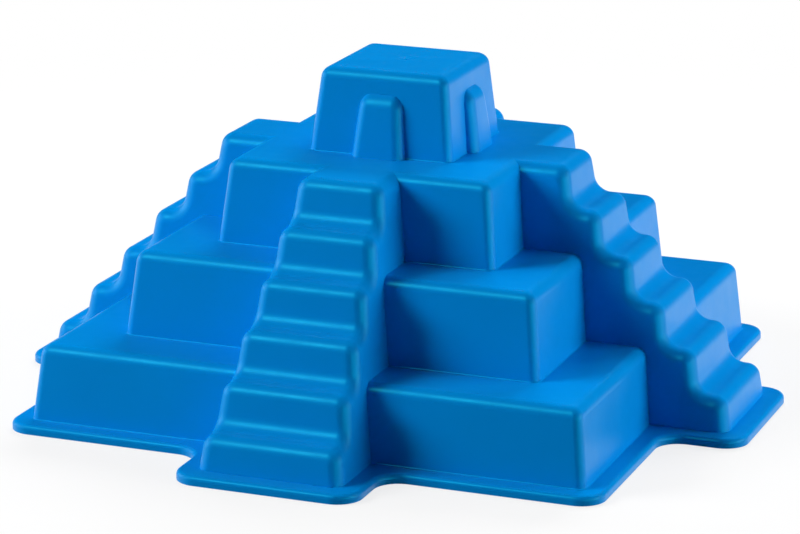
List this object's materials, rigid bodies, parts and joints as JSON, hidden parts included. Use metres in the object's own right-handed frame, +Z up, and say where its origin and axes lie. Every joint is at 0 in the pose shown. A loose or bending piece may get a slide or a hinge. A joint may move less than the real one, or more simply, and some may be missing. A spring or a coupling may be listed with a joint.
{
  "type": "sand mould",
  "caption": "Stepped-pyramid sand mould: hollow open-bottomed plastic shell with square tiers, a stair up each side, a temple with raised doorways, and a flat rim to rest on.",
  "frame": {"origin": "middle of the resting face, on the underside of the rim", "axes": "+Z up through the temple, -Y towards the front stair, +X towards the right stair"},
  "size_m": [0.2114, 0.2114, 0.093],
  "materials": {
    "shell": "satin moulded polypropylene"
  },
  "bodies": {
    "root": {"base_rim": "shell", "lower_terrace_back_right": "shell", "lower_terrace_back_left": "shell", "lower_terrace_front_left": "shell", "lower_terrace_front_right": "shell", "middle_terrace_back_right": "shell", "middle_terrace_back_left": "shell", "middle_terrace_front_left": "shell", "middle_terrace_front_right": "shell", "upper_tier": "shell", "temple": "shell", "back_stair": "shell", "left_stair": "shell", "front_stair": "shell", "right_stair": "shell", "back_doorway": "shell", "left_doorway": "shell", "front_doorway": "shell", "right_doorway": "shell"}
  },
  "joints": []
}
